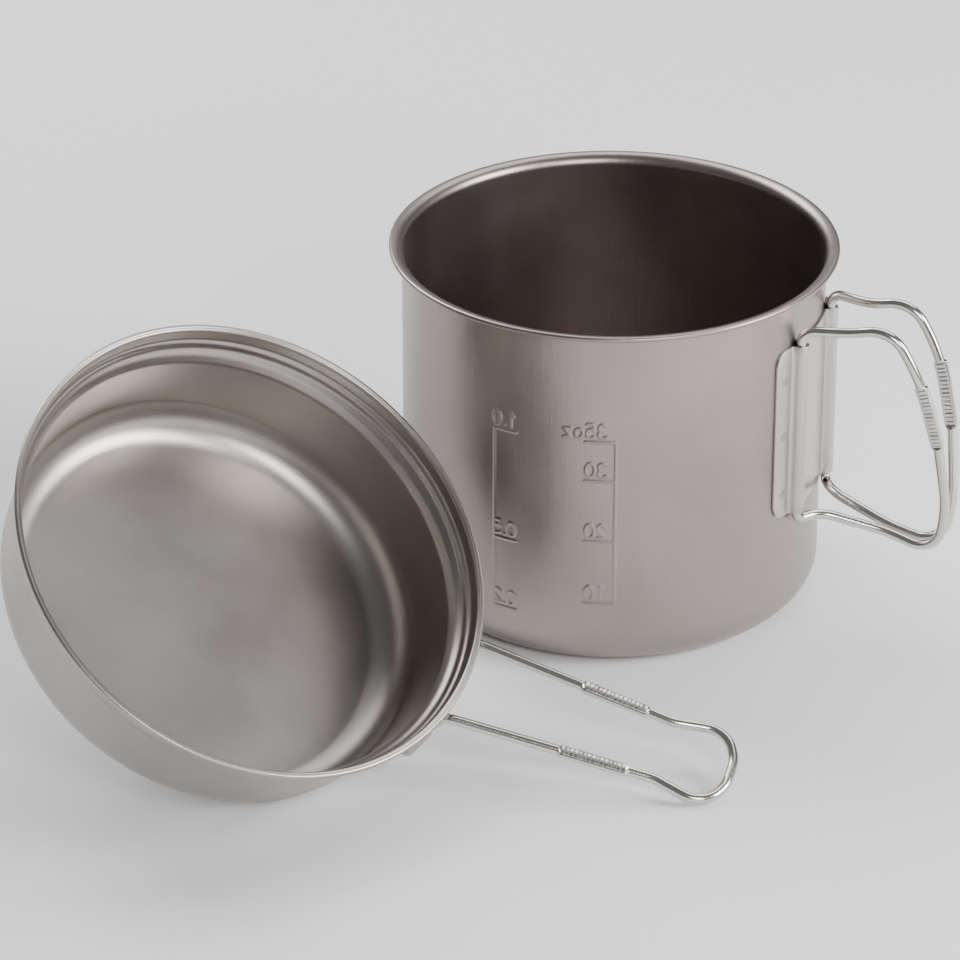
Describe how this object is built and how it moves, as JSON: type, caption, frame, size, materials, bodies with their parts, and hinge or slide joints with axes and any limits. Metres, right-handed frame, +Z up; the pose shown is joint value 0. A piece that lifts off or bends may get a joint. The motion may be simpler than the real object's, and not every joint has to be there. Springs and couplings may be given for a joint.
{
  "type": "camping cooking pot set",
  "caption": "Deep camping pot with two folding wire wings and pressed graduations, beside its shallow frying pan lid with a folding wire loop handle.",
  "frame": {"origin": "centre of the pot's flat base, on the table", "axes": "+Z up along the pot's axis, +X from the pot's axis towards its handle bracket, +Y to the left of that, away from the pan"},
  "size_m": [0.2421, 0.2849, 0.1166],
  "materials": {
    "titanium_sheet": "fine satin, warm grey",
    "satin_bracket": "satin",
    "steel_wire": "bright drawn wire"
  },
  "bodies": {
    "pot": {"pot_shell": "titanium_sheet", "pot_bracket": "satin_bracket", "pot_spot_welds": "satin_bracket"},
    "wing_front": {"pot_wing_front": "steel_wire"},
    "wing_rear": {"pot_wing_rear": "steel_wire"},
    "pan": {"pan_shell": "titanium_sheet", "pan_bracket": "satin_bracket", "pan_spot_welds": "satin_bracket"},
    "pan_loop": {"pan_handle": "steel_wire"}
  },
  "joints": [
    {"name": "wing_front_hinge", "type": "hinge", "parent": "pot", "child": "wing_front", "pos_m": [0.06542, -0.01444, 0.07], "axis": [0, 0, 1], "range_deg": [-121, 0]},
    {"name": "wing_rear_hinge", "type": "hinge", "parent": "pot", "child": "wing_rear", "pos_m": [0.06542, 0.01444, 0.07], "axis": [0, 0, 1], "range_deg": [0, 121]},
    {"name": "pan_lift", "type": "slide", "parent": "pot", "child": "pan", "axis": [0, 0, 1], "range_m": [0, 0.15]},
    {"name": "pan_handle_hinge", "type": "hinge", "parent": "pan", "child": "pan_loop", "pos_m": [-0.01545, -0.12047, 0.01336], "axis": [-0.0482, 0.9299, 0.3646], "range_deg": [0, 194]}
  ]
}
